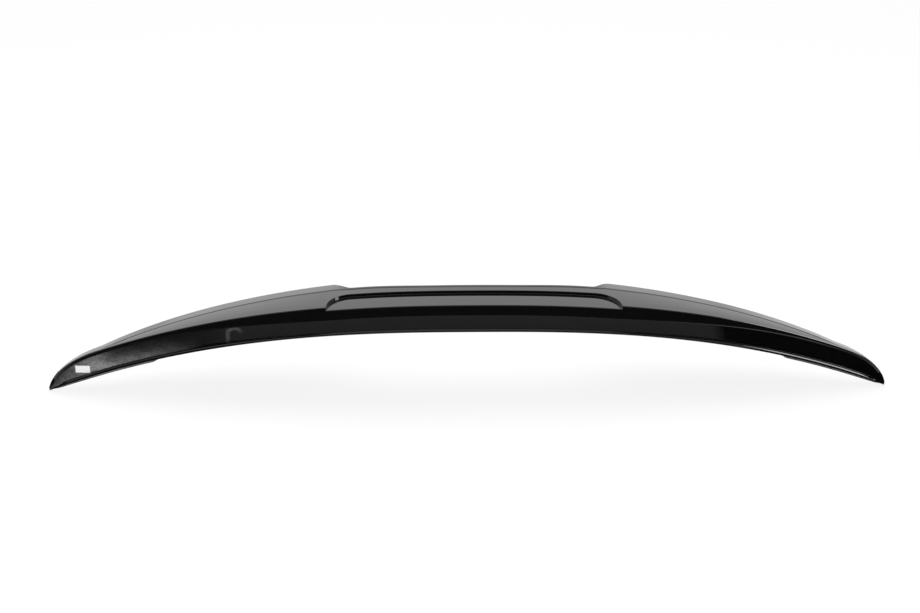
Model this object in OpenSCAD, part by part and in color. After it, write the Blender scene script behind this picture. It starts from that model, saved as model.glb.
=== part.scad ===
// Rear spoiler for a car boot lid, moulded in one piece.
// X runs across the car, +Y points to the front of the car and +Z up.
// The origin is the middle of the lower rim, where the rear bonding land begins.
// The moulding is one loft: cross-sections in the YZ plane, joined along X.

/* [Overall] */
// Width from tip to tip
span = 1300; // [1000:10:1500]
// How far the tips sit in front of the middle
sweep = 70; // [30:5:140]
// How far the lower rim hangs down at the tips
droop = 119; // [60:1:160]

/* [Rear face] */
// Height of the rear face in the middle
rear_h = 58; // [45:0.5:75]
// Height that the rear face tapers to before it rounds off at the tips
tip_face_h = 38; // [28:1:48]
// Length of the rounded end of the rear face
tip_round = 85; // [60:1:140]
// Height of the lip along the trailing edge, in the middle
lip_h = 19.5; // [10:0.5:26]
// How far the foot of the lip stands out behind the trailing edge, in the middle
lip_lean = 6; // [0:0.5:8]
// Height of the same lip near the tips
tip_lip_h = 4.5; // [3.5:0.5:8]
// How far the foot of the rear face sits in front of its top
undercut = 18; // [8:1:26]
// Depth of the panel under the lip, in the middle
panel_inset = 1.5; // [0.5:0.1:3]
// Depth of the same panel near the tips
tip_panel_inset = 5; // [3:0.5:7]
// Distance from each tip to the end of the panel
panel_margin = 14; // [12:1:30]
// Height of the lower rim in the middle
rim_h = 2.4; // [1.5:0.1:4]
// Height of the lower rim near the tips
tip_rim_h = 2.5; // [2:0.5:6]
// Radius of the trailing edge
edge_r = 1.5; // [0.8:0.1:2.5]

/* [Deck] */
// Depth that the deck would have in the middle without its notch, from the trailing edge to the crease
deck_d = 80; // [70:1:100]
// How much shorter the notch makes the deck in its middle part
notch_cut = 14; // [5:1:20]
// Angle at which the deck rises at the trailing edge
deck_rise = 3; // [0:0.5:8]
// Angle at which it rises at the crease, in the middle
crease_rise = 5; // [1:0.5:10]
// Angle at which it rises at the crease, on the wings
wing_crease_rise = 9; // [3:0.5:12]
// Distance from each tip to where the crease meets the trailing edge
crease_end = 84; // [50:1:120]
// Height of the small step along the crease
crease_step = 0.8; // [0.3:0.1:2]
// Depth of the nose from the crease to the shoulder where it turns down, in the middle
shoulder_d = 5.5; // [3:0.5:14]
// Depth of the same on the wings
wing_shoulder_d = 36; // [20:1:44]
// Angle at which the nose falls from the crease to the shoulder, in the middle
shoulder_fall = 3; // [0:0.5:8]
// Angle of the same on the wings
wing_shoulder_fall = 10; // [4:0.5:14]
// How far from the shoulder its round begins
shoulder_round = 8; // [3:0.5:12]
// Depth of the nose in front of the crease, in the middle
nose_d = 34; // [28:1:50]
// Fall of the nose in the middle
nose_drop = 24; // [18:1:30]
// Depth of the nose on the wings
wing_nose_d = 62; // [45:1:75]
// Fall of the nose on the wings
wing_nose_drop = 27; // [20:1:32]
// Half width of the notch, the middle part that has the short nose
notch_half_w = 199; // [150:1:260]
// Width over which the nose grows at each end of the notch
notch_blend = 31; // [20:1:60]

/* [Recess] */
// Width of the recess in the deck
recess_w = 444; // [300:2:520]
// Depth of the recess, from the trailing edge forwards
recess_d = 50; // [35:1:60]
// Width of each rounded end of the recess
recess_corner_w = 37; // [20:1:60]
// Height of the wall at the front of the recess
recess_wall_h = 4.5; // [3:0.1:9]
// How far the recess lowers the trailing edge
recess_edge_step = 4.5; // [1:0.5:8]

/* [Shell] */
// Thickness of the wall
wall = 3; // [2:0.1:4]
// Width of the bonding land along the nose
front_land = 12; // [8:1:18]
// Width of the bonding land along the lower rim
rear_land = 8; // [6:1:12]
// Distance between the stiffening ribs
rib_pitch = 130; // [90:5:180]
// Thickness of a rib
rib_t = 2.5; // [1.5:0.1:4]
// Draft of each side of a rib
rib_draft = 0.3; // [0.1:0.1:1]
// Length of the solid tips
tip_solid = 62; // [50:1:90]
// Height of the locating lip under the tips
skirt_h = 3; // [2:0.5:12]
// Thickness of the locating lip
skirt_t = 3; // [2:0.5:4]
// Distance from each tip to the outer end of the locating lip
skirt_outer = 5; // [4:1:40]
// Distance from each tip to the inner end of the locating lip
skirt_inner = 172; // [120:1:240]

/* [Hidden] */
half = span / 2;
// Exponents that set how fast each line bends towards the tips
sweep_bend = 2.2;
droop_bend = 2.47;
face_bend = 2;
deck_bend = 2.6;
nose_bend = 9;
foot_bend = 3;
tip_bend = 3.4;
// Smallest depth that keeps neighbouring points of a section apart
least = 0.6;
// Distance from the foot of the rear face to the locating lip
skirt_back = 3;
// Draft of the locating lip, and the lengths over which it starts and dies out
skirt_draft = 0.3;
skirt_start = 8;
skirt_end = 12;
// Slope of the panel's edges, extra depth halfway up, and the length over which it runs out at the tips
panel_slope = 0.4;
panel_hollow = 1;
panel_end = 10;
// Share of a corner's radius that the flat across it cuts off
blunt = 1 - cos(45);
// Share of the notch that the deck takes quickly, at the corners; the rest comes slowly from a quarter of its width
corner_share = 0.35;
// Shares of the half width between which the lip, the rim and the panel change from the middle to the tips
tip_change = [0.3, 0.82];
// Share of the half width by which the deck has its rise of the wings
wing_change = 0.6;
// Least depth of the shoulder, and what is left of the nose at the tips: depth and fall
shoulder_least = 1;
nose_least = [3, 1];
// Deck depth from which the crease has its full step
crease_full = 12;
// Largest share of a side that the round beside it takes
round_limit = 0.42;
// Blunt front edge of the nose
nose_edge = [0.4, 1.6];
// Share of the recess wall that the rounds at its foot and its top take
wall_round = 0.15;
// Distance between cross-sections, and length of the last piece of each tip
pitch = 30;
tip_end = 1.2;

function mix(a, b, t) = a + (b - a) * t;
function clamp(v) = min(1, max(0, v));
function ease(a, b, v) = let (t = clamp((v - a) / (b - a))) t * t * (3 - 2 * t);
function bend(x, power) = pow(abs(x) / half, power);

// Lines of the plan and rear views, as functions of X
function rear_y(x) = sweep * bend(x, sweep_bend) - undercut;
function rim_z(x) = -droop * bend(x, droop_bend);
function foot_y(x) = rear_y(x) + undercut * (1 - bend(x, foot_bend));
function rounding(x) = sqrt(1 - pow(clamp((abs(x) - half + tip_round) / tip_round), tip_bend));
function edge_z(x) = rim_z(x) + mix(rear_h, tip_face_h, bend(x, face_bend)) * rounding(x);

// How much of the change from the middle to the wings has happened at X
function to_tip(x) = ease(half * tip_change[0], half * tip_change[1], abs(x));
function to_wing(x) = ease(notch_half_w - notch_blend / 2, notch_half_w + notch_blend / 2, abs(x));
function fade(x) = 1 - bend(x, nose_bend);

// Depth of the deck, and its height, which falls faster towards the crease
function notch(x) = notch_cut * (1 - mix(ease(notch_half_w / 4, notch_half_w, abs(x)), to_wing(x), corner_share));
function deck_len(x) = 2 * edge_r * rounding(x) - notch(x)
    + deck_d * (1 - pow(clamp(abs(x) / (half - crease_end)), deck_bend));
function deck_z(x, y) = let (
        run = y - rear_y(x),
        rise = tan(deck_rise),
        front_rise = tan(mix(crease_rise, wing_crease_rise, ease(notch_half_w / 2, half * wing_change, abs(x))))
    ) edge_z(x) - rise * run - (front_rise - rise) * run * run / (2 * deck_len(x));

// Recess: its front edge in plan is straight, with a quarter ellipse at each end
function in_recess(x) = abs(x) < recess_w / 2;
function recess_len(x) = let (t = clamp((abs(x) - recess_w / 2 + recess_corner_w) / recess_corner_w))
    max(edge_r + least, recess_d * sqrt(1 - t * t));
function recess_drop(x) = in_recess(x) ? mix(recess_edge_step, recess_wall_h, recess_len(x) / recess_d) : 0;

// Rear face of the section, from the lower rim up to the trailing edge
function rear_path(x) = let (
        y = rear_y(x),
        foot = foot_y(x),
        low = rim_z(x),
        top = edge_z(x) - (in_recess(x) ? recess_edge_step : 0),
        g = rounding(x),
        lip_size = mix(lip_h, tip_lip_h, to_tip(x)) * g,
        lip = edge_z(x) - lip_size,
        lip_y = y - lip_lean * lip_size / lip_h,
        rim = mix(rim_h, tip_rim_h, to_tip(x)) * g,
        slope = panel_slope * g,
        inset = mix(panel_inset, tip_panel_inset, to_tip(x))
            * (1 - ease(half - panel_margin - panel_end, half - panel_margin, abs(x))) + 0.1 * least,
        hang = skirt_h * g * ease(half - skirt_inner, half - skirt_inner + skirt_start, abs(x))
            * (1 - ease(half - skirt_outer - skirt_end, half - skirt_outer, abs(x))),
        r = edge_r * g
    ) [
        [foot + skirt_back + skirt_t + skirt_draft, low],
        [foot + skirt_back + skirt_t, low - hang],
        [foot + skirt_back, low - hang],
        [foot + skirt_back - skirt_draft, low],
        [foot, low + panel_slope * rim],
        [foot, low + rim],
        [foot + inset, low + rim + slope],
        [mix(foot, y, 0.5) + inset + panel_hollow, mix(low + rim, lip, 0.5)],
        [y + inset + least, lip - slope],
        [lip_y + least, lip],
        [lip_y, lip + 2 * slope],
        [y, top - r],
        [y + blunt * r, top - blunt * r],
        [y + r, top]
    ];

// Deck of the section, from the trailing edge forwards to the crease
function deck_path(x) = let (
        y = rear_y(x),
        cut = in_recess(x),
        top = edge_z(x) - (cut ? recess_edge_step : 0),
        start = y + edge_r * rounding(x),
        front = cut ? y + recess_len(x) : mix(start, y + deck_len(x), 0.3),
        drop = recess_drop(x),
        floor_z = deck_z(x, front) - drop,
        crease = y + deck_len(x),
        land = front + 0.1 * (crease - front)
    ) [
        [mix(start, front, 0.5), mix(top, floor_z, 0.5)],
        [mix(start, front, 0.9), mix(top, floor_z, 0.9)],
        [front, deck_z(x, front) - (1 - wall_round) * drop],
        [mix(front, land, 0.4), deck_z(x, front) - wall_round * drop],
        [land, deck_z(x, land)],
        [mix(land, crease, 0.92), deck_z(x, mix(land, crease, 0.92))]
    ];

// Nose of the section: from the crease forwards to the shoulder, and round it down to the front edge
function crease_top(x) = let (y = rear_y(x) + deck_len(x))
    [y, deck_z(x, y) + crease_step * clamp(deck_len(x) / crease_full)];
function shoulder(x) = let (run = mix(shoulder_d, wing_shoulder_d, to_wing(x)) * fade(x) + shoulder_least)
    crease_top(x) + run * [1, -tan(mix(shoulder_fall, wing_shoulder_fall, to_wing(x)))];
function front_edge(x) = crease_top(x) + [
        mix(nose_d, wing_nose_d, to_wing(x)) * fade(x) + nose_least[0],
        -mix(nose_drop, wing_nose_drop, to_wing(x)) * fade(x) - nose_least[1]
    ];
function towards(from, to) = let (length = norm(to - from))
    from + (to - from) * min(shoulder_round, round_limit * length) / length;
function round_point(x, t) = let (s = shoulder(x))
    mix(mix(towards(s, crease_top(x)), s, t), mix(s, towards(s, front_edge(x)), t), t);
function nose_path(x) = [crease_top(x), each [for (t = [0 : 3]) round_point(x, t / 3)], front_edge(x)];

// Underside: a straight line from the lower rim to the front edge, where the lands lie
function outside(x) = concat(rear_path(x), deck_path(x), nose_path(x), [front_edge(x) - nose_edge]);
function under(x, t) = mix(rear_path(x)[0], front_edge(x) - nose_edge, t);
function under_len(x) = norm(under(x, 1) - under(x, 0));
function skin(x) = min(wall, 0.2 * (edge_z(x) - rim_z(x)));
function land_edge(x, width) = min(width, 0.2 * under_len(x)) / under_len(x);

function ahead(p, y) = [max(p[0], y), p[1]];

// Inside of the wall, from the front land round to the rear land
function inside(x) = let (
        w = skin(x),
        y = rear_y(x),
        cut = in_recess(x),
        rear = rear_path(x),
        deck = deck_path(x),
        front_in = under(x, 1 - land_edge(x, front_land)),
        rear_in = under(x, land_edge(x, rear_land)),
        step = recess_drop(x),
        lean = cut ? 0.9 * w : 0,
        heel = max(y + w + 0.5, rear[8][0] + w) + 1
    ) [
        front_in,
        front_in + [0, w],
        mix(shoulder(x), front_edge(x), 0.6) - [0.75, 1] * w,
        shoulder(x) - [0.35, 1] * w,
        ahead(crease_top(x) - [0, 1.1] * w, heel + 4 * least),
        ahead(deck[4] + [lean, -w], heel + 3 * least),
        ahead(deck[2] + [lean, -w - wall_round * step], heel + 2 * least),
        ahead(deck[0] - [0, w], heel + least),
        [heel, rear[13][1] - 1.2 * w],
        rear[8] + [w, 0],
        rear[6] + [w, 0.8 * w],
        rear_in + [0, w],
        rear_in
    ];

// Where a rib or a solid tip fills the section, the same points lie on one straight line
function filled(x) = let (p = inside(x), n = len(p))
    [for (i = [0 : n - 1]) i == 0 ? p[0] : i == n - 1 ? p[n - 1] : mix(p[1], p[n - 2], (i - 1) / (n - 3))];

// Cross-sections of one half, from the middle out, as pairs of X and whether it is filled
rib_count = floor((half - tip_solid - 2 * rib_t) / rib_pitch);
corner_x = recess_w / 2 - recess_corner_w;
plain = concat(
    [for (x = [pitch / 2 : pitch : corner_x - pitch / 2]) x],
    [for (a = [0 : 14 : 84]) corner_x + recess_corner_w * sin(a)],
    [recess_w / 2 - 0.1, recess_w / 2 + 0.6],
    [for (x = [recess_w / 2 + pitch / 2 : pitch : half - tip_solid - pitch / 2]) x]
);
ribs = [for (i = [0 : rib_count]) i * rib_pitch];
rib_side = rib_t / 2 + rib_draft;
function clear_of_ribs(x) = min([for (r = ribs) abs(x - r)]) > rib_side + 0.4;
rib_stations = [for (r = ribs, e = [[-rib_side, 0], [-rib_t / 2, 1], [rib_t / 2, 1], [rib_side, 0]])
    if (r + e[0] > 0) [r + e[0], e[1]]];
open_stations = concat([for (x = plain) if (clear_of_ribs(x)) [x, 0]], [[half - tip_solid, 0]]);
tip_stations = [for (a = [0 : 9 : 90]) [mix(half - tip_solid + rib_draft, half - tip_end, sin(a)), 1]];

function sorted(list) = len(list) < 2 ? list : let (pivot = list[floor(len(list) / 2)])
    concat(
        sorted([for (e = list) if (e[0] < pivot[0]) e]),
        [pivot],
        sorted([for (e = list) if (e[0] > pivot[0]) e])
    );
half_stations = concat(sorted(concat(open_stations, rib_stations)), tip_stations);
stations = concat(
    [for (i = [len(half_stations) - 1 : -1 : 0]) [-half_stations[i][0], half_stations[i][1]]],
    half_stations
);

function section(s) = [for (p = concat(outside(s[0]), s[1] ? filled(s[0]) : inside(s[0]))) [s[0], p[0], p[1]]];
function centre(points) = [for (k = [0 : 2]) let (v = [for (p = points) p[k]]) (min(v) + max(v)) / 2];

// A closed loft through sections that all have the same number of points
module loft(sections) {
    n = len(sections[0]);
    m = len(sections);
    left = centre(sections[0]);
    right = centre(sections[m - 1]);
    points = concat(
        [for (s = sections) for (p = s) p],
        [[-half, left[1], left[2]], [half, right[1], right[2]]]
    );
    sides = [for (i = [0 : m - 2]) for (j = [0 : n - 1]) let (
            k = (j + 1) % n,
            a = i * n + j,
            b = i * n + k,
            c = a + n,
            d = b + n
        ) each [[a, b, d], [a, d, c]]];
    left_cap = [for (j = [0 : n - 1]) [(j + 1) % n, j, m * n]];
    right_cap = [for (j = [0 : n - 1]) [(m - 1) * n + j, (m - 1) * n + (j + 1) % n, m * n + 1]];
    polyhedron(points = points, faces = concat(sides, left_cap, right_cap), convexity = 10);
}

module spoiler() {
    color([0.03, 0.03, 0.035])
        loft([for (s = stations) section(s)]);
}

spoiler();
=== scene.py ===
import math

import bpy
import numpy as np
from mathutils import Matrix, Vector


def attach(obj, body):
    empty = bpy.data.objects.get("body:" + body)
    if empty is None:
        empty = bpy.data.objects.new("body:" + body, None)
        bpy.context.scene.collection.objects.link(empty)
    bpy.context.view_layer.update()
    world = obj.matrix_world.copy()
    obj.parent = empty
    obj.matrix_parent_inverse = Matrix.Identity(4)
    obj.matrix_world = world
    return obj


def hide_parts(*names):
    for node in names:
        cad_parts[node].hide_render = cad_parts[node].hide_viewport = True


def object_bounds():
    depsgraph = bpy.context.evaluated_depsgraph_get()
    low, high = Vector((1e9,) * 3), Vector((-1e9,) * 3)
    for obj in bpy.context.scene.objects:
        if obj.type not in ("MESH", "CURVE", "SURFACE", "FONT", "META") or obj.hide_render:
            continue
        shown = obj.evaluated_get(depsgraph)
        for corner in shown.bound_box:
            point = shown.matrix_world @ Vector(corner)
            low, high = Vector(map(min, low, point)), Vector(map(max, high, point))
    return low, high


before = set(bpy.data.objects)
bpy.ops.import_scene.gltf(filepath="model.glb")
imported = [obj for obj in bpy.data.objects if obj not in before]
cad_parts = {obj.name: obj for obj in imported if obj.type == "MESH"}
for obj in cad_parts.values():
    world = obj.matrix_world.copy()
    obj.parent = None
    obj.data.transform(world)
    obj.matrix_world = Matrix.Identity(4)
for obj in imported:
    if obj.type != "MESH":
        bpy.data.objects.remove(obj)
cad_box = [list(corner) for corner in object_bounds()]

# Overall sizes
SPAN = 1.3
HALF = SPAN / 2
SWEEP = 0.07
DROOP = 0.119

# Smallest step between points, length of the last piece of each tip, spacing of the sections
LEAST = 0.0006
TIP_END = 0.0012
PITCH = 0.004

# Rear face
REAR_H = 0.058
TIP_FACE_H = 0.038
TIP_ROUND = 0.085
LIP_H = 0.0195
TIP_LIP_H = 0.006
TIP_LIP_SHARE = 0.45
LIP_LEAN = 0.006
UNDERCUT = 0.018
PANEL_INSET = 0.0015
TIP_PANEL_INSET = 0.005
PANEL_LEAST = 0.1 * LEAST
PANEL_MARGIN = 0.014
PANEL_END = 0.01
PANEL_SLOPE = 0.0004
PANEL_HOLLOW = 0.001
PANEL_STEPS = 7
RIM_H = 0.0042
TIP_RIM_H = 0.005
RIM_CHAMFER = 0.15
RIM_LEDGE = 0.0014
RIM_LEDGE_SHARE = 0.8
RIM_LEDGE_RISE = 0.0016
TIP_LEDGE_RISE = 0.00165
EDGE_FACET = 0.0012
EDGE_FACET_RUN = 0.001
LIP_FOOT = 0.0004
TIP_LIP_FOOT = 0.0018
LIP_FOOT_LEAN = 0.06
EDGE_R = 0.0015

# Deck and nose
DECK_D = 0.08
DECK_RISE = math.radians(3)
CREASE_RISE = math.radians(5)
WING_CREASE_RISE = math.radians(9)
WING_CREASE_SHARE = 0.6
NOTCH_CUT = 0.014
CREASE_END = 0.084
CREASE_STEP = 0.0008
CREASE_FULL = 0.012
NOSE_D = 0.034
NOSE_DROP = 0.024
WING_NOSE_D = 0.062
WING_NOSE_DROP = 0.027
NOSE_LEAST_D = 0.003
NOSE_LEAST_DROP = 0.001
SHOULDER_D = 0.0055
WING_SHOULDER_D = 0.036
SHOULDER_FALL = math.radians(3)
WING_SHOULDER_FALL = math.radians(10)
SHOULDER_LEAST = 0.001
NOSE_EDGE = np.array([0.0004, 0.0016])
NOTCH_HALF_W = 0.199
NOTCH_BLEND = 0.031
CORNER_SHARE = 0.35

# Recess in the deck, and how far past its ends the bare deck takes over
RECESS_HALF_W = 0.222
RECESS_D = 0.05
RECESS_CORNER_W = 0.037
RECESS_WALL_H = 0.0045
RECESS_EDGE_STEP = 0.0045
PAST_RECESS = 0.06
BARE_SHARE = 0.3

# Places along the deck and the nose, as shares of the piece that each lies on
FLOOR_SHARES = (0.35, 0.7)
LAND_SHARE = 0.1
WALL_TOP_SHARE = 0.4
DECK_SHARES = (0.25, 0.6)
RAMP_SHARE = 0.92
NOSE_TOP_SHARE = 0.4
NOSE_FACE_SHARE = 0.7

# How far each round starts from its corner
SKIRT_ROOT_ROUND = 0.0006
SKIRT_ROUND = 0.0008
RIM_ROUND = 0.0006
LEDGE_ROUND = 0.0003
PANEL_ROUND = 0.0008
LIP_ROUND = 0.0003
LIP_FOOT_ROUND = 0.0006
FACET_ROUND = 0.0004
FOOT_ROUND = 0.0003
FOOT_ROUND_SHARE = 0.3
WALL_TOP_ROUND = 0.0009
RAMP_ROUND = 0.0012
CREASE_ROUND = 0.001
SHOULDER_ROUND = 0.008
NOSE_END_ROUND = 0.0005
NOSE_BACK_ROUND = 0.0004
INSIDE_ROUND = 0.001
ROUND_SHARE = 0.42
NO_LENGTH = 1e-9

# How many points each round has
FINE_STEPS = 3
ROUND_STEPS = 4
WALL_TOP_STEPS = 5
SHOULDER_STEPS = 12

# Shell
WALL = 0.003
WALL_SHARE = 0.2
WALL_LEAN = 0.9
FRONT_LAND = 0.012
REAR_LAND = 0.008
LAND_MOST = 0.2
HEEL_ROOM = 0.0005
HEEL_STEP = 0.001
RIB_PITCH = 0.13
RIB_T = 0.0025
RIB_DRAFT = 0.0003
RIB_ROOM = 0.0004
TIP_SOLID = 0.062
SKIRT_H = 0.003
SKIRT_T = 0.003
SKIRT_OUTER = 0.005
SKIRT_OUTER_EASE = 0.012
SKIRT_INNER = 0.172
SKIRT_INNER_EASE = 0.008
SKIRT_BACK = 0.0009
SKIRT_DRAFT = 0.0003

# Inside of the shell: a place along the nose as a share, and distances from the outside in wall thicknesses
INSIDE_NOSE_SHARE = 0.6
INSIDE_NOSE = np.array([0.75, 1])
INSIDE_SHOULDER = np.array([0.35, 1])
INSIDE_CREASE = 1.1
INSIDE_TOP = 1.2
INSIDE_FOOT = 0.8

# Exponents that set how fast each line bends towards the tips
SWEEP_BEND = 2.2
DROOP_BEND = 2.47
FACE_BEND = 2
DECK_BEND = 2.6
NOSE_BEND = 9
FOOT_BEND = 3
TIP_BEND = 2.8

# Where the sizes at the tips start to take over, and where they hold fully, as shares of the half span
TIP_START = 0.3
TIP_FULL = 0.82

# Sections near the recess's ends and at the tips: limit and step of the angles, and gaps to the end
RECESS_TURN = (88, 3.5)
RECESS_END_GAPS = (-0.0001, 0.0006)
TIP_TURN = (90.1, 2.5)

# Which corners of the rear face and of the deck the other parts start from
PANEL_FOOT_AT = 7
PANEL_TOP_AT = 15
LIP_TOP_AT = 18
FLOOR_AT = 0
WALL_FOOT_AT = 2
WALL_TOP_AT = 3


def mix(a, b, t):
    return a + (b - a) * t


def clamp(v):
    return min(1.0, max(0.0, v))


def ease(a, b, v):
    t = clamp((v - a) / (b - a))
    return t * t * (3 - 2 * t)


def curve(a, knee, c, t):
    """A point on the curve from a to c that leans towards the knee."""
    return (1 - t) ** 2 * a + 2 * t * (1 - t) * knee + t * t * c


def bend(x, power):
    return (abs(x) / HALF) ** power


# Lines of the plan and rear views, as functions of x
def rear_y(x):
    return SWEEP * bend(x, SWEEP_BEND) - UNDERCUT


def rim_z(x):
    return -DROOP * bend(x, DROOP_BEND)


def foot_y(x):
    return rear_y(x) + UNDERCUT * (1 - bend(x, FOOT_BEND))


def rounding(x):
    return math.sqrt(1 - clamp((abs(x) - HALF + TIP_ROUND) / TIP_ROUND) ** TIP_BEND)


def edge_z(x):
    return rim_z(x) + mix(REAR_H, TIP_FACE_H, bend(x, FACE_BEND)) * rounding(x)


def deck_len(x):
    wing = DECK_D * (1 - clamp(abs(x) / (HALF - CREASE_END)) ** DECK_BEND)
    slow = ease(NOTCH_HALF_W / 4, NOTCH_HALF_W, abs(x))
    return 2 * EDGE_R * rounding(x) + wing - NOTCH_CUT * (1 - mix(slow, to_wing(x), CORNER_SHARE))


def deck_z(x, y):
    run = y - rear_y(x)
    rise = math.tan(DECK_RISE)
    wing = ease(NOTCH_HALF_W / 2, HALF * WING_CREASE_SHARE, abs(x))
    front_rise = math.tan(mix(CREASE_RISE, WING_CREASE_RISE, wing))
    return edge_z(x) - rise * run - (front_rise - rise) * run * run / (2 * deck_len(x))


def to_tip(x):
    return ease(HALF * TIP_START, HALF * TIP_FULL, abs(x))


def to_wing(x):
    return ease(NOTCH_HALF_W - NOTCH_BLEND / 2, NOTCH_HALF_W + NOTCH_BLEND / 2, abs(x))


def fade(x):
    return 1 - bend(x, NOSE_BEND)


# Locating lip under each tip: how much of it is there, counted from its inner and its outer end
def skirt_begun(x):
    return ease(HALF - SKIRT_INNER, HALF - SKIRT_INNER + SKIRT_INNER_EASE, abs(x))


def skirt_left(x):
    return 1 - ease(HALF - SKIRT_OUTER - SKIRT_OUTER_EASE, HALF - SKIRT_OUTER, abs(x))


# Recess: straight front edge in plan, with a quarter ellipse at each end
def in_recess(x):
    return abs(x) < RECESS_HALF_W


def recess_len(x):
    t = clamp((abs(x) - RECESS_HALF_W + RECESS_CORNER_W) / RECESS_CORNER_W)
    return max(EDGE_R + LEAST, RECESS_D * math.sqrt(1 - t * t))


def recess_drop(x):
    return mix(RECESS_EDGE_STEP, RECESS_WALL_H, recess_len(x) / RECESS_D) if in_recess(x) else 0.0


def face_top(x):
    """Height of the rear face's upper edge, which is lower where the recess opens to the rear."""
    return edge_z(x) - (RECESS_EDGE_STEP if in_recess(x) else 0)


def tip_lip(x):
    """Height of the lip near a tip, where it keeps its width as its edge gets steeper."""
    height = edge_z(x) - rim_z(x)
    steep = (rounding(abs(x) - LEAST) - rounding(x)) / LEAST * TIP_FACE_H
    return min(TIP_LIP_H * math.hypot(1, steep), TIP_LIP_SHARE * height)


# A section is a list of corners: y, z, how far the round starts from the corner, number of points on it
def plain(spot):
    """A corner with no round."""
    return (*spot, 0, 1)


def arc_through(a, b, c, steps):
    """Points between a and c on the curve that passes through b halfway."""
    a, b, c = np.array(a), np.array(b), np.array(c)
    knee = 2 * b - (a + c) / 2
    return [curve(a, knee, c, t) for t in np.linspace(0, 1, steps + 2)[1:-1]]


def skirt_corners(x):
    low = rim_z(x)
    hang = SKIRT_H * rounding(x) * skirt_begun(x) * skirt_left(x)
    back = foot_y(x) + SKIRT_BACK
    return [
        (back + SKIRT_T + SKIRT_DRAFT, low, SKIRT_ROOT_ROUND, FINE_STEPS),
        (back + SKIRT_T, low - hang, SKIRT_ROUND, ROUND_STEPS),
        (back, low - hang, SKIRT_ROUND, ROUND_STEPS),
        (back - SKIRT_DRAFT, low, SKIRT_ROOT_ROUND, FINE_STEPS),
    ]


def panel_inset(x):
    ends = 1 - ease(HALF - PANEL_MARGIN - PANEL_END, HALF - PANEL_MARGIN, abs(x))
    return mix(PANEL_INSET, TIP_PANEL_INSET, to_tip(x)) * ends + PANEL_LEAST


def rim_height(x):
    return mix(RIM_H, TIP_RIM_H, to_tip(x)) * rounding(x)


def rim_corners(x):
    foot = foot_y(x)
    low = rim_z(x)
    rim = rim_height(x)
    ledge = min(RIM_LEDGE, RIM_LEDGE_SHARE * panel_inset(x))
    ledge_rise = mix(RIM_LEDGE_RISE, TIP_LEDGE_RISE, to_tip(x)) * rounding(x)
    return [
        (foot, low + RIM_CHAMFER * rim, RIM_ROUND, FINE_STEPS),
        (foot, low + rim - ledge_rise, LEDGE_ROUND, FINE_STEPS),
        (foot + ledge, low + rim, LEDGE_ROUND, FINE_STEPS),
    ]


def lip_height(x):
    return mix(LIP_H * rounding(x), tip_lip(x), to_tip(x))


def panel_corners(x):
    y = rear_y(x)
    foot = foot_y(x)
    low = rim_z(x)
    lip = edge_z(x) - lip_height(x)
    rim = rim_height(x)
    slope = PANEL_SLOPE * rounding(x)
    inset = panel_inset(x)
    panel = [
        (foot + inset, low + rim + slope),
        (mix(foot, y, 0.5) + inset + PANEL_HOLLOW, mix(low + rim, lip, 0.5)),
        (y + inset + LEAST, lip - slope),
    ]
    return [
        (*panel[0], PANEL_ROUND, ROUND_STEPS),
        *[plain(p) for p in arc_through(*panel, PANEL_STEPS)],
        (*panel[2], PANEL_ROUND, ROUND_STEPS),
    ]


def lip_corners(x):
    y = rear_y(x)
    top = face_top(x)
    g = rounding(x)
    lip_size = lip_height(x)
    lip = edge_z(x) - lip_size
    lip_y = y - LIP_LEAN * lip_size / LIP_H
    lip_foot = mix(LIP_FOOT, TIP_LIP_FOOT, to_tip(x)) * g
    facet_y = y - LIP_LEAN / LIP_H * (edge_z(x) - top + EDGE_FACET * g)
    return [
        (lip_y - LIP_FOOT_LEAN * lip_foot, lip, LIP_ROUND, FINE_STEPS),
        (lip_y, lip + lip_foot, LIP_FOOT_ROUND, ROUND_STEPS),
        (facet_y, top - EDGE_FACET * g, FACET_ROUND * g, FINE_STEPS),
        (facet_y + EDGE_FACET_RUN * g, top, FACET_ROUND * g, ROUND_STEPS),
    ]


def rear_corners(x):
    return skirt_corners(x) + rim_corners(x) + panel_corners(x) + lip_corners(x)


def recess_front(x):
    """Where the recess ends, and past its ends a place on the bare deck that moves away slowly."""
    y = rear_y(x)
    away = ease(RECESS_HALF_W, RECESS_HALF_W + PAST_RECESS, abs(x))
    near = recess_len(x)
    far = mix(EDGE_R * rounding(x), deck_len(x), BARE_SHARE)
    return y + (near if in_recess(x) else mix(near, max(near * rounding(x), far), away))


def floor_corners(x, start, front, floor_z):
    """Points on the recess's floor, or on the bare deck past its ends."""
    corners = []
    for share in FLOOR_SHARES:
        spot = mix(start, front, share)
        height = mix(face_top(x), floor_z, share) if in_recess(x) else deck_z(x, spot)
        corners.append(plain((spot, height)))
    return corners


def deck_corners(x):
    y = rear_y(x)
    g = rounding(x)
    start = y + EDGE_R * g
    front = max(recess_front(x), start + LEAST * g * 0.5)
    floor_z = deck_z(x, front) - recess_drop(x)
    crease = y + deck_len(x)
    land = front + LAND_SHARE * (crease - front)
    foot_round = min(FOOT_ROUND, FOOT_ROUND_SHARE * (front - start))
    wall_top = mix(front, land, WALL_TOP_SHARE)
    ramp = mix(land, crease, RAMP_SHARE)
    spots = [mix(land, crease, share) for share in DECK_SHARES]
    return [
        *floor_corners(x, start, front, floor_z),
        (front, floor_z, foot_round, ROUND_STEPS),
        (wall_top, deck_z(x, front if in_recess(x) else wall_top), WALL_TOP_ROUND, WALL_TOP_STEPS),
        *[plain((spot, deck_z(x, spot))) for spot in spots],
        (ramp, deck_z(x, ramp), RAMP_ROUND, ROUND_STEPS),
    ]


def crease_top(x):
    y = rear_y(x) + deck_len(x)
    return np.array([y, deck_z(x, y) + CREASE_STEP * clamp(deck_len(x) / CREASE_FULL)])


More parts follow.
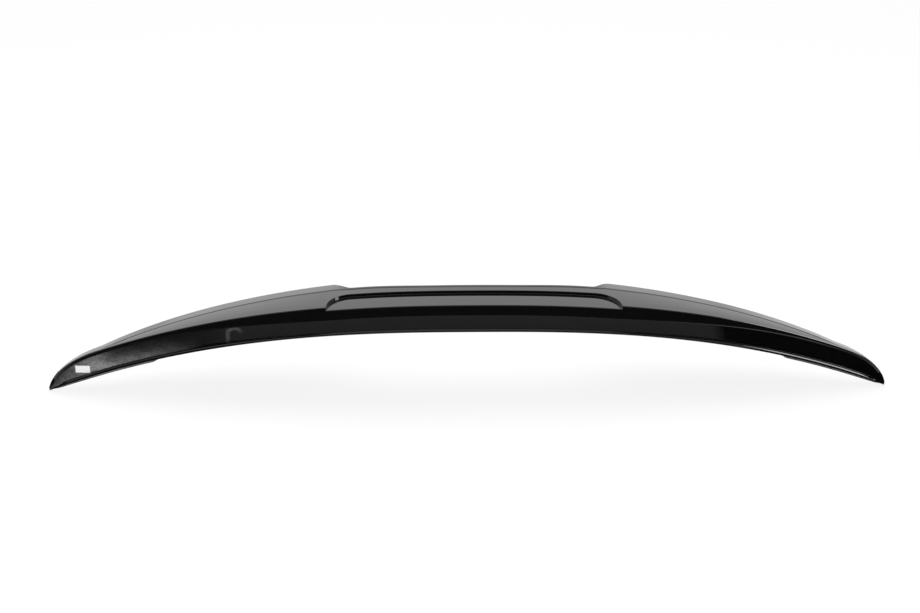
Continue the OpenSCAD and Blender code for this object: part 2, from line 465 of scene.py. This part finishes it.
def shoulder(x):
    run = mix(SHOULDER_D, WING_SHOULDER_D, to_wing(x)) * fade(x) + SHOULDER_LEAST
    fall = math.tan(mix(SHOULDER_FALL, WING_SHOULDER_FALL, to_wing(x)))
    return crease_top(x) + np.array([run, -run * fall])


def front_edge(x):
    run = mix(NOSE_D, WING_NOSE_D, to_wing(x)) * fade(x) + NOSE_LEAST_D
    fall = mix(NOSE_DROP, WING_NOSE_DROP, to_wing(x)) * fade(x) + NOSE_LEAST_DROP
    return crease_top(x) + np.array([run, -fall])


def nose_corners(x):
    top, bend_at, end = crease_top(x), shoulder(x), front_edge(x)
    return [
        (*top, CREASE_ROUND, ROUND_STEPS),
        plain(mix(top, bend_at, NOSE_TOP_SHARE)),
        (*bend_at, SHOULDER_ROUND, SHOULDER_STEPS),
        plain(mix(bend_at, end, NOSE_FACE_SHARE)),
        (*end, NOSE_END_ROUND, ROUND_STEPS),
        (*(end - NOSE_EDGE), NOSE_BACK_ROUND, FINE_STEPS),
    ]


def ahead(p, y):
    return np.array([max(p[0], y), p[1]])


def inside_corners(x, is_filled):
    """The inside of the shell, or where it is filled a straight line one wall above the bonding lands."""
    wall = min(WALL, WALL_SHARE * (edge_z(x) - rim_z(x)))
    lean = WALL_LEAN * wall if in_recess(x) else 0
    rear = rear_corners(x)
    deck = deck_corners(x)
    low_rear = np.array(rear[0][:2])
    low_front = front_edge(x) - NOSE_EDGE
    length = np.linalg.norm(low_front - low_rear)
    front_in = mix(low_rear, low_front, 1 - min(FRONT_LAND, LAND_MOST * length) / length)
    rear_in = mix(low_rear, low_front, min(REAR_LAND, LAND_MOST * length) / length)
    panel_top = np.array(rear[PANEL_TOP_AT][:2])
    panel_foot = np.array(rear[PANEL_FOOT_AT][:2])
    heel = max(rear_y(x) + wall + HEEL_ROOM, panel_top[0] + wall) + HEEL_STEP
    points = [
        front_in,
        front_in + [0, wall],
        mix(shoulder(x), front_edge(x), INSIDE_NOSE_SHARE) - INSIDE_NOSE * wall,
        shoulder(x) - INSIDE_SHOULDER * wall,
        ahead(crease_top(x) - [0, INSIDE_CREASE * wall], heel + 4 * LEAST),
        ahead(np.array(deck[WALL_TOP_AT][:2]) + [lean, -wall], heel + 3 * LEAST),
        ahead(np.array(deck[WALL_FOOT_AT][:2]) + [lean, -wall], heel + 2 * LEAST),
        ahead(np.array(deck[FLOOR_AT][:2]) - [0, wall], heel + LEAST),
        np.array([heel, rear[LIP_TOP_AT][1] - INSIDE_TOP * wall]),
        panel_top + [wall, 0],
        panel_foot + [wall, INSIDE_FOOT * wall],
        rear_in + [0, wall],
        rear_in,
    ]
    if is_filled:
        last = len(points) - 1
        line = [mix(points[1], points[last - 1], (i - 1) / (last - 2)) for i in range(1, last)]
        points = [points[0], *line, points[last]]
    return [(*p, INSIDE_ROUND * rounding(x), FINE_STEPS) for p in points]


def rounded(corners):
    """The closed outline through the corners, each with its round."""
    spots = [np.array(c[:2]) for c in corners]
    out = []
    for i, (_, _, cut, steps) in enumerate(corners):
        p = spots[i]
        if steps == 1:
            out.append(p)
            continue
        before, after = spots[i - 1] - p, spots[(i + 1) % len(spots)] - p
        a, b = np.linalg.norm(before), np.linalg.norm(after)
        start = p + before / max(a, NO_LENGTH) * min(cut, ROUND_SHARE * a)
        end = p + after / max(b, NO_LENGTH) * min(cut, ROUND_SHARE * b)
        out += [curve(start, p, end, t) for t in np.linspace(0, 1, steps)]
    return np.array(out)


def section(x, is_filled):
    outline = rounded(rear_corners(x) + deck_corners(x) + nose_corners(x) + inside_corners(x, is_filled))
    return np.column_stack([np.full(len(outline), x), outline])


# Where the moulding has no gloss: 1 is fully matt and grey. The ranges name points of a section.
SKIRT_POINTS = range(3, 14)
PANEL_POINTS = range(24, 38)
MATT_START = 0.408
MATT_FULL = 0.572
MATT_END = 0.635
MATT_BEND = 1.2
MATT_LOSS = 0.6
MATT_FALL = 3.3
MATT_FULL_FALL = 0.9
MATT_FALL_START = 0.78
MATT_SKIRT = (0.45, 0.3)


def matt_amount(outline):
    """How matt each point of a section is: the panel near the left tip and the locating lips."""
    x = outline[0][0]
    amounts = np.zeros(len(outline))
    place = clamp((-x - MATT_START) / (MATT_FULL - MATT_START))
    low_amount = place ** MATT_BEND * (1 - MATT_LOSS * clamp((-x - MATT_FULL) / (MATT_END - MATT_FULL)))
    falling = mix(MATT_FALL, MATT_FULL_FALL, ease(MATT_FALL_START, 1, place))
    foot, top = outline[PANEL_POINTS[0]][2], outline[PANEL_POINTS[-1]][2]
    for i in PANEL_POINTS:
        share = clamp((outline[i][2] - foot) / max(top - foot, LEAST))
        amounts[i] = low_amount * math.exp(-share * falling)
    for i in SKIRT_POINTS:
        amounts[i] = MATT_SKIRT[0 if x < 0 else 1] * skirt_begun(x)
    return amounts


def sines(limit, step):
    """Sines of the angles from 0 to below the limit, both in degrees."""
    return [math.sin(math.radians(angle)) for angle in np.arange(0, limit, step)]


def plain_places():
    """Where the sections between the ribs lie: evenly spaced, and closer at the end of the recess."""
    corner = RECESS_HALF_W - RECESS_CORNER_W
    places = list(np.arange(PITCH / 2, corner, PITCH))
    places += [corner + RECESS_CORNER_W * share for share in sines(*RECESS_TURN)]
    places += [RECESS_HALF_W + gap for gap in RECESS_END_GAPS]
    places += list(np.arange(RECESS_HALF_W + PITCH / 2, HALF - TIP_SOLID - PITCH / 4, PITCH))
    return places


def half_stations():
    """Sections of one half, from the middle out, as pairs of x and whether the hollow is filled there."""
    ribs = [i * RIB_PITCH for i in range(int((HALF - TIP_SOLID - 2 * RIB_T) / RIB_PITCH) + 1)]
    side = RIB_T / 2 + RIB_DRAFT
    found = [(x, False) for x in plain_places() if min(abs(x - rib) for rib in ribs) > side + RIB_ROOM]
    pairs = [(-side, False), (-RIB_T / 2, True), (RIB_T / 2, True), (side, False)]
    for rib in ribs:
        found += [(rib + offset, is_filled) for offset, is_filled in pairs if rib + offset > 0]
    found.append((HALF - TIP_SOLID, False))
    start, end = HALF - TIP_SOLID + RIB_DRAFT, HALF - TIP_END
    found += [(mix(start, end, share), True) for share in sines(*TIP_TURN)]
    return sorted(found)


# Meshes: the angle in degrees above which an edge stays sharp, and the weight of the larger faces
MOULDING_SHARP = 50
STICKER_SHARP = 40
NORMAL_WEIGHT = 50


def new_mesh(name, points, faces):
    mesh = bpy.data.meshes.new(name)
    mesh.from_pydata(points, [], faces)
    return mesh


def smooth(mesh, sharp):
    mesh.validate()
    mesh.shade_smooth()
    mesh.set_sharp_from_angle(angle=math.radians(sharp))


def add_object(name, data):
    piece = bpy.data.objects.new(name, data)
    bpy.context.scene.collection.objects.link(piece)
    return piece


def end_point(outline, x):
    """The point that closes one end of the loft."""
    middle = (outline.min(axis=0) + outline.max(axis=0)) / 2
    return [x, middle[1], middle[2]]


def loft_faces(around, along):
    """Quads between neighbouring sections, and triangles round the point at each end."""
    faces = []
    for i in range(along - 1):
        for j in range(around):
            k = (j + 1) % around
            faces.append((i * around + j, i * around + k, (i + 1) * around + k, (i + 1) * around + j))
    start = (along - 1) * around
    left, right = along * around, along * around + 1
    faces += [((j + 1) % around, j, left) for j in range(around)]
    faces += [(start + j, start + (j + 1) % around, right) for j in range(around)]
    return faces


def loft(name, sections):
    """A closed mesh through sections with the same number of points, with a point at each end."""
    ends = [end_point(sections[0], -HALF), end_point(sections[-1], HALF)]
    low, high = (np.array(corner) for corner in cad_box)
    points = np.clip(np.concatenate([*sections, ends]), low, high)
    mesh = new_mesh(name, points.tolist(), loft_faces(len(sections[0]), len(sections)))
    matt = mesh.attributes.new("matt", "FLOAT", "POINT")
    amounts = np.concatenate([matt_amount(s) for s in sections] + [[0, 0]])
    matt.data.foreach_set("value", amounts.astype(np.float32))
    smooth(mesh, MOULDING_SHARP)
    piece = add_object(name, mesh)
    weighted = piece.modifiers.new("weighted_normals", "WEIGHTED_NORMAL")
    weighted.keep_sharp = True
    weighted.weight = NORMAL_WEIGHT
    return piece


# Materials: scales of the noise, ranges as low, high, from low, from high, and colours
PAINT_COLOURS = ((0.0016, 0.0016, 0.0017, 1), (0.0028, 0.0028, 0.0029, 1))
PAINT_SCALE = 14
PAINT_ROUGH = (0.045, 0.085)
ROUGH_SCALE = 9
ROUGH_DETAIL = 4
MATT_GREY = (0.28, 0.28, 0.28, 1)
MATT_ROUGH = (0.5, 0.5, 0.5, 1)
MATT_ROUGH_GAIN = 5.0
GRAIN_SCALE = 420
BLOTCH_SCALE = 38
GRAIN_DETAIL = 3
GRAIN_RANGE = (0.6, 1.35, 0.36, 0.64)
BLOTCH_RANGE = (0.7, 1.25, 0.35, 0.65)
BUMP_SCALE = 260
BUMP_STRENGTH = 0.05
BUMP_DISTANCE = 0.0002
PAPER_COLOURS = ((0.92, 0.92, 0.91, 1), (0.97, 0.97, 0.96, 1))
PAPER_SCALE = 700
PAPER_DETAIL = 4
PAPER_ROUGH = (0.5, 0.65)
PAPER_ROUGH_SCALE = 300
WHITE = (1, 1, 1, 1)


def feed(tree, socket, value):
    """Gives an input a fixed value, or the output of another node."""
    if isinstance(value, bpy.types.NodeSocket):
        tree.links.new(value, socket)
    else:
        socket.default_value = value


def empty_tree(owner):
    owner.use_nodes = True
    owner.node_tree.nodes.clear()
    return owner.node_tree


def bare_material(name):
    material = bpy.data.materials.new(name)
    tree = empty_tree(material)
    return material, tree, tree.nodes.new("ShaderNodeOutputMaterial")


def new_material(name):
    material, tree, output = bare_material(name)
    shader = tree.nodes.new("ShaderNodeBsdfPrincipled")
    tree.links.new(shader.outputs["BSDF"], output.inputs["Surface"])
    return material, tree, shader


def noise(tree, scale, detail=2.0):
    place = tree.nodes.new("ShaderNodeTexCoord")
    node = tree.nodes.new("ShaderNodeTexNoise")
    node.inputs["Scale"].default_value = scale
    node.inputs["Detail"].default_value = detail
    tree.links.new(place.outputs["Object"], node.inputs["Vector"])
    return node.outputs["Fac"]


def axes_of(tree, kind):
    """The x, y and z of one kind of texture coordinate."""
    place = tree.nodes.new("ShaderNodeTexCoord")
    axes = tree.nodes.new("ShaderNodeSeparateXYZ")
    tree.links.new(place.outputs[kind], axes.inputs["Vector"])
    return axes.outputs


def to_range(tree, value, low, high, from_low=0.0, from_high=1.0):
    """The value moved from one range to another, and held inside it."""
    node = tree.nodes.new("ShaderNodeMapRange")
    node.inputs["From Min"].default_value = from_low
    node.inputs["From Max"].default_value = from_high
    node.inputs["To Min"].default_value = low
    node.inputs["To Max"].default_value = high
    tree.links.new(value, node.inputs["Value"])
    return node.outputs["Result"]


def calculate(tree, operation, *values, is_held=False):
    """The result of one operation, held between 0 and 1 where that is asked."""
    node = tree.nodes.new("ShaderNodeMath")
    node.operation = operation
    node.use_clamp = is_held
    for i, value in enumerate(values):
        feed(tree, node.inputs[i], value)
    return node.outputs["Value"]


def times(tree, a, b):
    return calculate(tree, "MULTIPLY", a, b, is_held=True)


def mix_colours(tree, share, first, second):
    node = tree.nodes.new("ShaderNodeMixRGB")
    feed(tree, node.inputs["Fac"], share)
    feed(tree, node.inputs["Color1"], first)
    feed(tree, node.inputs["Color2"], second)
    return node.outputs["Color"]


def camera_ray(tree):
    """1 where the camera sees the surface, and 0 where another surface mirrors or receives its light."""
    return tree.nodes.new("ShaderNodeLightPath").outputs["Is Camera Ray"]


def mix_shaders(tree, output, share, first, second):
    blend = tree.nodes.new("ShaderNodeMixShader")
    tree.links.new(share, blend.inputs["Fac"])
    tree.links.new(first, blend.inputs[1])
    tree.links.new(second, blend.inputs[2])
    tree.links.new(blend.outputs["Shader"], output.inputs["Surface"])


# Hook-shaped mark on the rear face, a painted highlight that also makes the paint rougher: x and z of its
# middle, its sizes, and the y where it fades out
MARK_SPOT = (-0.36, -0.0058)
MARK_R = 0.0105
MARK_HALF_W = 0.0048
MARK_STRENGTH = 0.2
MARK_DEPTH = 0.045
MARK_FADE = 0.01
MARK_REACH = 3.0
MARK_SIDE = (-1.0, 0.5)


def mark_axis(tree, value, middle):
    """A coordinate counted from the mark's middle, in radii."""
    reach = MARK_REACH * MARK_R
    return to_range(tree, value, -MARK_REACH, MARK_REACH, middle - reach, middle + reach)


def hook_highlight_mark(tree):
    """An arch of painted highlight, strong on its left and top."""
    axes = axes_of(tree, "Object")
    across = mark_axis(tree, axes["X"], MARK_SPOT[0])
    up = mark_axis(tree, axes["Z"], MARK_SPOT[1])
    flat = tree.nodes.new("ShaderNodeCombineXYZ")
    feed(tree, flat.inputs["X"], across)
    feed(tree, flat.inputs["Y"], calculate(tree, "MAXIMUM", up, 0.0))
    away = tree.nodes.new("ShaderNodeVectorMath")
    away.operation = "LENGTH"
    tree.links.new(flat.outputs["Vector"], away.inputs[0])
    band = MARK_HALF_W / MARK_R
    inner = to_range(tree, away.outputs["Value"], 0.0, 1.0, 1 - band, 1.0)
    outer = to_range(tree, away.outputs["Value"], 1.0, 0.0, 1.0, 1 + band)
    side = to_range(tree, calculate(tree, "SUBTRACT", up, across), 0.0, 1.0, *MARK_SIDE)
    rear = to_range(tree, axes["Y"], MARK_STRENGTH, 0.0, MARK_DEPTH, MARK_DEPTH + MARK_FADE)
    return times(tree, times(tree, times(tree, inner, outer), side), rear)


def fine_bump(tree, shader):
    bump = tree.nodes.new("ShaderNodeBump")
    bump.inputs["Strength"].default_value = BUMP_STRENGTH
    bump.inputs["Distance"].default_value = BUMP_DISTANCE
    tree.links.new(noise(tree, BUMP_SCALE), bump.inputs["Height"])
    tree.links.new(bump.outputs["Normal"], shader.inputs["Normal"])


def gloss_black():
    """Gloss black paint, matt and grainy grey where the point attribute says that it is thin, and lighter
    and rougher in the hook mark, which is a painted highlight.
    """
    material, tree, shader = new_material("gloss_black")
    shader.inputs["IOR"].default_value = 1.5
    matt = tree.nodes.new("ShaderNodeAttribute")
    matt.attribute_name = "matt"
    # The hook mark's painted highlight is added to the matt amount, so it greys the colour and raises the
    # roughness.
    matt_and_highlight = calculate(tree, "ADD", matt.outputs["Fac"], hook_highlight_mark(tree))
    grain = to_range(tree, noise(tree, GRAIN_SCALE, GRAIN_DETAIL), *GRAIN_RANGE)
    blotch = to_range(tree, noise(tree, BLOTCH_SCALE, GRAIN_DETAIL), *BLOTCH_RANGE)
    amount = times(tree, times(tree, matt_and_highlight, grain), blotch)
    paint = mix_colours(tree, noise(tree, PAINT_SCALE), *PAINT_COLOURS)
    feed(tree, shader.inputs["Base Color"], mix_colours(tree, amount, paint, MATT_GREY))
    gloss = to_range(tree, noise(tree, ROUGH_SCALE, ROUGH_DETAIL), *PAINT_ROUGH)
    rough = mix_colours(tree, times(tree, matt_and_highlight, MATT_ROUGH_GAIN), gloss, MATT_ROUGH)
    feed(tree, shader.inputs["Roughness"], rough)
    fine_bump(tree, shader)
    return material


def paper():
    material, tree, shader = new_material("white_paper")
    tone = mix_colours(tree, noise(tree, PAPER_SCALE, PAPER_DETAIL), *PAPER_COLOURS)
    feed(tree, shader.inputs["Base Color"], tone)
    rough = to_range(tree, noise(tree, PAPER_ROUGH_SCALE), *PAPER_ROUGH)
    feed(tree, shader.inputs["Roughness"], rough)
    return material


# Sticker on the panel near the left tip
STICKER_W = 0.0225
STICKER_H = 0.0122
STICKER_T = 0.00015
STICKER_GAP = 0.00008
STICKER_X = -0.596
STICKER_SHARE = 0.36
STICKER_TURN = math.radians(2)
STICKER_COLUMNS = 13
STICKER_ROWS = 7


def panel_y(x, z):
    """Where the panel lies at a height."""
    corners = rear_corners(x)[PANEL_FOOT_AT:PANEL_TOP_AT + 1]
    heights = [c[1] for c in corners]
    return float(np.interp(z, heights, [c[0] for c in corners]))


def sticker_points():
    """A grid of points just behind the panel, and the same grid further back by the sticker's thickness."""
    corners = rear_corners(STICKER_X)
    middle_z = mix(corners[PANEL_FOOT_AT][1], corners[PANEL_TOP_AT][1], STICKER_SHARE)
    along = np.array([math.cos(STICKER_TURN), math.sin(STICKER_TURN)])
    points = []
    for offset in (STICKER_GAP, STICKER_GAP + STICKER_T):
        for a in np.linspace(-STICKER_W / 2, STICKER_W / 2, STICKER_COLUMNS):
            for b in np.linspace(-STICKER_H / 2, STICKER_H / 2, STICKER_ROWS):
                x = STICKER_X + a * along[0] - b * along[1]
                z = middle_z + a * along[1] + b * along[0]
                points.append((x, panel_y(x, z) - offset, z))
    return points


def border_of(columns, rows):
    """The points round the edge of a grid, in order."""
    border = [i * rows for i in range(columns)]
    border += [(columns - 1) * rows + j for j in range(1, rows)]
    border += [i * rows + rows - 1 for i in range(columns - 2, -1, -1)]
    border += [j for j in range(rows - 2, 0, -1)]
    return border


def plate_faces(columns, rows):
    """The two sides of a thin plate and the band between them."""
    faces = []
    layer = columns * rows
    for i in range(columns - 1):
        for j in range(rows - 1):
            a, b = i * rows + j, (i + 1) * rows + j
            c, d = b + 1, a + 1
            faces.append((a, d, c, b))
            faces.append((layer + a, layer + b, layer + c, layer + d))
    border = border_of(columns, rows)
    for i, a in enumerate(border):
        b = border[(i + 1) % len(border)]
        faces.append((a, b, layer + b, layer + a))
    return faces


def sticker():
    mesh = new_mesh("sticker", sticker_points(), plate_faces(STICKER_COLUMNS, STICKER_ROWS))
    smooth(mesh, STICKER_SHARP)
    return add_object("sticker", mesh)


# Floor: its gap below the part, its size and colour, and how much of it the camera sees as plain white
FLOOR_GAP = 0.001
FLOOR_SIZE = 14.0
FLOOR_COLOUR = (0.92, 0.92, 0.92, 1)
FLOOR_WHITE = 0.8


def pale_floor():
    material, tree, output = bare_material("pale_floor")
    matt = tree.nodes.new("ShaderNodeBsdfDiffuse")
    matt.inputs["Color"].default_value = FLOOR_COLOUR
    white = tree.nodes.new("ShaderNodeEmission")
    white.inputs["Strength"].default_value = 1.0
    share = calculate(tree, "MULTIPLY", camera_ray(tree), FLOOR_WHITE)
    mix_shaders(tree, output, share, matt.outputs["BSDF"], white.outputs["Emission"])
    return material


def floor():
    low = cad_box[0][2] - FLOOR_GAP
    s = FLOOR_SIZE / 2
    mesh = new_mesh("floor", [(-s, -s, low), (s, -s, low), (s, s, low), (-s, s, low)], [(0, 1, 2, 3)])
    piece = add_object("floor", mesh)
    mesh.materials.append(pale_floor())


# Card on the floor that paints shade into the reflections, black on the right as a painted reflection of a
# dark thing: its rows along y, its split and ends along x, its greys, and its slanted black edge
CARD_Y = (-2.6, -0.13, 0.15)
CARD_SPLIT = 0.4
CARD_END = 1.2
CARD_SHADE_GREYS = (0.04, 0.27)
CARD_SHADE_BLACK = 0.01
CARD_LEFT = (-0.47, -0.37)
CARD_EDGE = 0.382
CARD_SLANT = 0.8
CARD_SOFT = 0.012


def shade_card_grey():
    material, tree, output = bare_material("shade_card")
    # The greys are painted shade: dark at the far left, grey in the middle, and black past the slanted edge
    # on the right.
    matt = tree.nodes.new("ShaderNodeBsdfDiffuse")
    axes = axes_of(tree, "Object")
    slanted = calculate(tree, "MULTIPLY_ADD", axes["Y"], CARD_SLANT, axes["X"])
    left = to_range(tree, axes["X"], *CARD_SHADE_GREYS, *CARD_LEFT)
    right = to_range(tree, slanted, 1.0, CARD_SHADE_BLACK, CARD_EDGE - CARD_SOFT, CARD_EDGE + CARD_SOFT)
    feed(tree, matt.inputs["Color"], times(tree, left, right))
    tree.links.new(matt.outputs["BSDF"], output.inputs["Surface"])
    return material


def shade_card():
    """A grey card on the floor behind the rear face, seen only in the gloss, that paints shade into the
    rear face's reflections; its black right end paints the reflection of a dark thing.
    """
    z = cad_box[0][2] - FLOOR_GAP / 2
    outline = [(-1, 0), (CARD_SPLIT, 0), (CARD_SPLIT, 1), (1, 1), (1, 2), (CARD_SPLIT, 2), (-1, 2)]
    corners = [(x * CARD_END, CARD_Y[row], z) for x, row in outline]
    mesh = new_mesh("shade_card", corners, [(0, 1, 2, 5, 6), (2, 3, 4, 5)])
    piece = add_object("shade_card", mesh)
    mesh.materials.append(shade_card_grey())
    piece.visible_camera = False
    piece.visible_diffuse = False
    piece.visible_shadow = False


# Surroundings: ranges as low, high, from low, from high
ROOM_BEHIND = (0.03, 1.0, -0.5, -0.2)
ROOM_ABOVE = (0.02, 1.0, 0.55, 0.8)
ROOM_SIDES = (1.2, 0.82, -0.6, 0.6)


def background(tree, colour):
    node = tree.nodes.new("ShaderNodeBackground")
    feed(tree, node.inputs["Color"], colour)
    node.inputs["Strength"].default_value = 1.0
    return node.outputs["Background"]


def surroundings():
    """A white studio, dark only low down on the side of the rear face, with a white backdrop."""
    world = bpy.data.worlds.new("studio")
    bpy.context.scene.world = world
    tree = empty_tree(world)
    output = tree.nodes.new("ShaderNodeOutputWorld")
    axes = axes_of(tree, "Generated")
    behind = to_range(tree, axes["Y"], *ROOM_BEHIND)
    above = to_range(tree, axes["Z"], *ROOM_ABOVE)
    sides = to_range(tree, axes["X"], *ROOM_SIDES)
    level = calculate(tree, "MULTIPLY", calculate(tree, "MAXIMUM", behind, above), sides)
    mix_shaders(tree, output, camera_ray(tree), background(tree, level), background(tree, WHITE))


# Camera: the photograph's view, from behind and above
VIEW_TARGET = Vector((-0.0198, 0.032, 0.0285))
VIEW_DISTANCE = 3.2
VIEW_RISE = math.radians(24)
VIEW_YAW = math.radians(-2.96)
VIEW_ROLL = math.radians(0.92)
LENS = 82.57
SENSOR = 36.0


def camera():
    right = Vector((math.cos(VIEW_YAW), math.sin(VIEW_YAW), 0))
    level = Vector((-math.sin(VIEW_YAW), math.cos(VIEW_YAW), 0))
    forward = level * math.cos(VIEW_RISE) - Vector((0, 0, math.sin(VIEW_RISE)))
    up = right.cross(forward)
    side = right * math.cos(VIEW_ROLL) + up * math.sin(VIEW_ROLL)
    top = up * math.cos(VIEW_ROLL) - right * math.sin(VIEW_ROLL)
    spot = VIEW_TARGET - forward * VIEW_DISTANCE
    data = bpy.data.cameras.new("camera")
    data.sensor_width = SENSOR
    data.lens = LENS
    piece = add_object("camera", data)
    turn = Matrix((side, top, -forward)).transposed().to_4x4()
    piece.matrix_world = Matrix.Translation(spot) @ turn
    bpy.context.scene.camera = piece


# Lights: places and aims in metres, sizes as width and height, powers in watts
def softbox(name, place, aim, size, power):
    data = bpy.data.lights.new(name, "AREA")
    data.shape = "RECTANGLE"
    data.size, data.size_y = size
    data.energy = power
    piece = add_object(name, data)
    piece.location = place
    piece.rotation_euler = (Vector(aim) - Vector(place)).to_track_quat("-Z", "Y").to_euler()
    return piece


def lights():
    """Light from above, a fill that no gloss shows, and one that only the gloss on the right shows."""
    softbox("overhead", place=(0.0, 0.4, 2.6), aim=(0.0, 0.05, 0.0), size=(2.4, 1.6), power=30)
    fill = softbox("fill", place=(0.0, -2.8, 0.9), aim=(0.0, 0.0, 0.0), size=(2.0, 1.4), power=38)
    fill.visible_glossy = False
    rim = softbox("rim_light", place=(2.28, -0.53, 1.17), aim=(0.54, 0.0, 0.0), size=(1.0, 1.3), power=37)
    rim.visible_diffuse = False


camera()
floor()
surroundings()
shade_card()
lights()

right_half = half_stations()
stations = [(-x, is_filled) for x, is_filled in reversed(right_half)] + right_half
moulding = loft("moulding", [section(x, is_filled) for x, is_filled in stations])
moulding.data.materials.append(gloss_black())
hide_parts("spoiler")
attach(moulding, "root")

label = sticker()
label.data.materials.append(paper())
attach(label, "root")

bpy.context.scene.view_settings.view_transform = "Standard"
